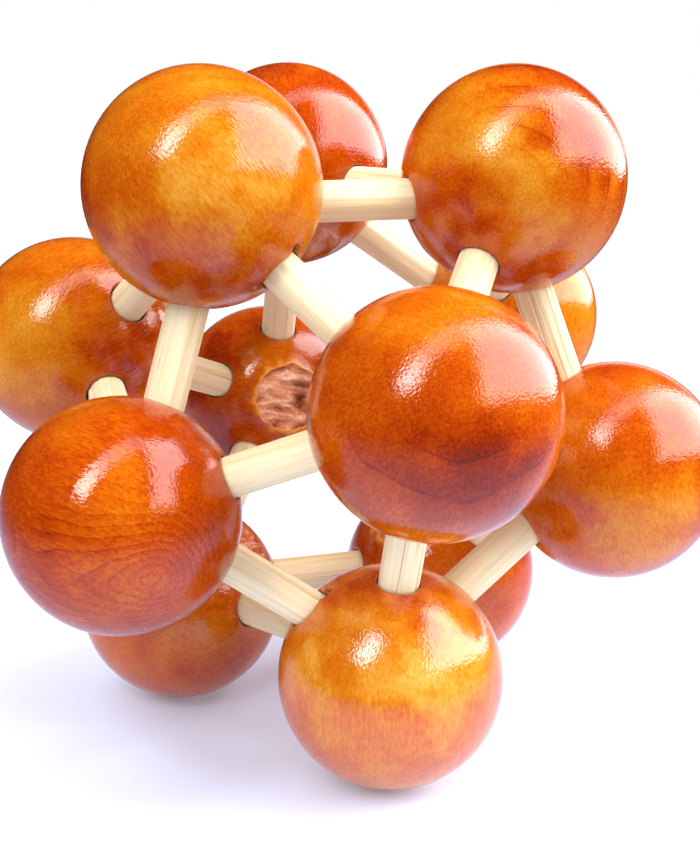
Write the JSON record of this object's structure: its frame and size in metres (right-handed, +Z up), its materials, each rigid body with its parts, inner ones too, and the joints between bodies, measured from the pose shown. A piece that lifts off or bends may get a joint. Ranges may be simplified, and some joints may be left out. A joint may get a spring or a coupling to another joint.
{
  "type": "wooden ball-and-rod cage puzzle",
  "caption": "Brain teaser of lacquered wooden balls joined by pale rods into an icosahedral cage; all balls slide apart together on the rods, and the puzzle comes apart.",
  "frame": {"origin": "on the surface that it stands on, under the middle of the cage: the lowest points of the three bottom balls lie in this plane", "axes": "+Z up, along a three-fold axis of the cage; -Y the front, where the ball with five glued rods is; +Y the back, along the longest extent"},
  "size_m": [0.0914, 0.1012, 0.0872],
  "materials": {
    "ball_wood": "gloss lacquer over stain",
    "rod_wood": "bare, sanded"
  },
  "bodies": {
    "bottom_front": {"bottom_front_ball": "ball_wood", "bottom_front_to_lower_right_rod": "rod_wood", "bottom_front_to_bottom_left_rod": "rod_wood", "bottom_front_to_bottom_right_rod": "rod_wood"},
    "bottom_right": {"bottom_right_ball": "ball_wood", "bottom_right_to_upper_right_rod": "rod_wood", "bottom_right_to_lower_back_rod": "rod_wood"},
    "bottom_left": {"bottom_left_ball": "ball_wood", "bottom_left_to_bottom_right_rod": "rod_wood", "bottom_left_to_lower_back_rod": "rod_wood"},
    "lower_left": {"lower_left_ball": "ball_wood", "lower_left_to_bottom_front_rod": "rod_wood", "lower_left_to_upper_left_rod": "rod_wood", "lower_left_to_bottom_left_rod": "rod_wood"},
    "lower_right": {"lower_right_ball": "ball_wood", "lower_right_to_top_right_rod": "rod_wood", "lower_right_to_bottom_right_rod": "rod_wood", "lower_right_to_upper_right_rod": "rod_wood"},
    "lower_back": {"lower_back_ball": "ball_wood"},
    "upper_front": {"upper_front_ball": "ball_wood", "upper_front_to_top_left_rod": "rod_wood", "upper_front_to_lower_left_rod": "rod_wood", "upper_front_to_bottom_front_rod": "rod_wood", "upper_front_to_lower_right_rod": "rod_wood", "upper_front_to_top_right_rod": "rod_wood"},
    "upper_right": {"upper_right_ball": "ball_wood", "upper_right_to_top_back_rod": "rod_wood", "upper_right_to_lower_back_rod": "rod_wood"},
    "upper_left": {"upper_left_ball": "ball_wood", "upper_left_to_bottom_left_rod": "rod_wood", "upper_left_to_lower_back_rod": "rod_wood"},
    "top_left": {"top_left_ball": "ball_wood", "top_left_to_lower_left_rod": "rod_wood", "top_left_to_top_back_rod": "rod_wood", "top_left_to_upper_left_rod": "rod_wood"},
    "top_right": {"top_right_ball": "ball_wood", "top_right_to_top_left_rod": "rod_wood", "top_right_to_upper_right_rod": "rod_wood", "top_right_to_top_back_rod": "rod_wood"},
    "top_back": {"top_back_ball": "ball_wood", "top_back_to_upper_left_rod": "rod_wood", "top_back_to_lower_back_rod": "rod_wood"}
  },
  "joints": [
    {"name": "bottom_right_slide", "type": "slide", "parent": "bottom_front", "child": "bottom_right", "axis": [0.5, 0.866, 0], "range_m": [0, 0.008]},
    {"name": "bottom_left_slide", "type": "slide", "parent": "bottom_front", "child": "bottom_left", "axis": [-0.5, 0.866, 0], "range_m": [0, 0.008]},
    {"name": "lower_left_slide", "type": "slide", "parent": "bottom_front", "child": "lower_left", "axis": [-0.809, 0.1103, 0.5774], "range_m": [0, 0.008]},
    {"name": "lower_right_slide", "type": "slide", "parent": "bottom_front", "child": "lower_right", "axis": [0.809, 0.1103, 0.5774], "range_m": [0, 0.008]},
    {"name": "lower_back_slide", "type": "slide", "parent": "bottom_front", "child": "lower_back", "axis": [0, 0.9342, 0.3568], "range_m": [0, 0.01294]},
    {"name": "upper_front_slide", "type": "slide", "parent": "bottom_front", "child": "upper_front", "axis": [0, -0.3568, 0.9342], "range_m": [0, 0.008]},
    {"name": "upper_right_slide", "type": "slide", "parent": "bottom_front", "child": "upper_right", "axis": [0.5, 0.6455, 0.5774], "range_m": [0, 0.01294]},
    {"name": "upper_left_slide", "type": "slide", "parent": "bottom_front", "child": "upper_left", "axis": [-0.5, 0.6455, 0.5774], "range_m": [0, 0.01294]},
    {"name": "top_left_slide", "type": "slide", "parent": "bottom_front", "child": "top_left", "axis": [-0.309, 0.1784, 0.9342], "range_m": [0, 0.01294]},
    {"name": "top_right_slide", "type": "slide", "parent": "bottom_front", "child": "top_right", "axis": [0.309, 0.1784, 0.9342], "range_m": [0, 0.01294]},
    {"name": "top_back_slide", "type": "slide", "parent": "bottom_front", "child": "top_back", "axis": [0, 0.6071, 0.7947], "range_m": [0, 0.01522]}
  ],
  "couplings": [
    {"joint": "bottom_left_slide", "follows": "bottom_right_slide", "ratio": 1},
    {"joint": "lower_left_slide", "follows": "bottom_right_slide", "ratio": 1},
    {"joint": "lower_right_slide", "follows": "bottom_right_slide", "ratio": 1},
    {"joint": "lower_back_slide", "follows": "bottom_right_slide", "ratio": 1.618},
    {"joint": "upper_front_slide", "follows": "bottom_right_slide", "ratio": 1},
    {"joint": "upper_right_slide", "follows": "bottom_right_slide", "ratio": 1.618},
    {"joint": "upper_left_slide", "follows": "bottom_right_slide", "ratio": 1.618},
    {"joint": "top_left_slide", "follows": "bottom_right_slide", "ratio": 1.618},
    {"joint": "top_right_slide", "follows": "bottom_right_slide", "ratio": 1.618},
    {"joint": "top_back_slide", "follows": "bottom_right_slide", "ratio": 1.9021}
  ]
}
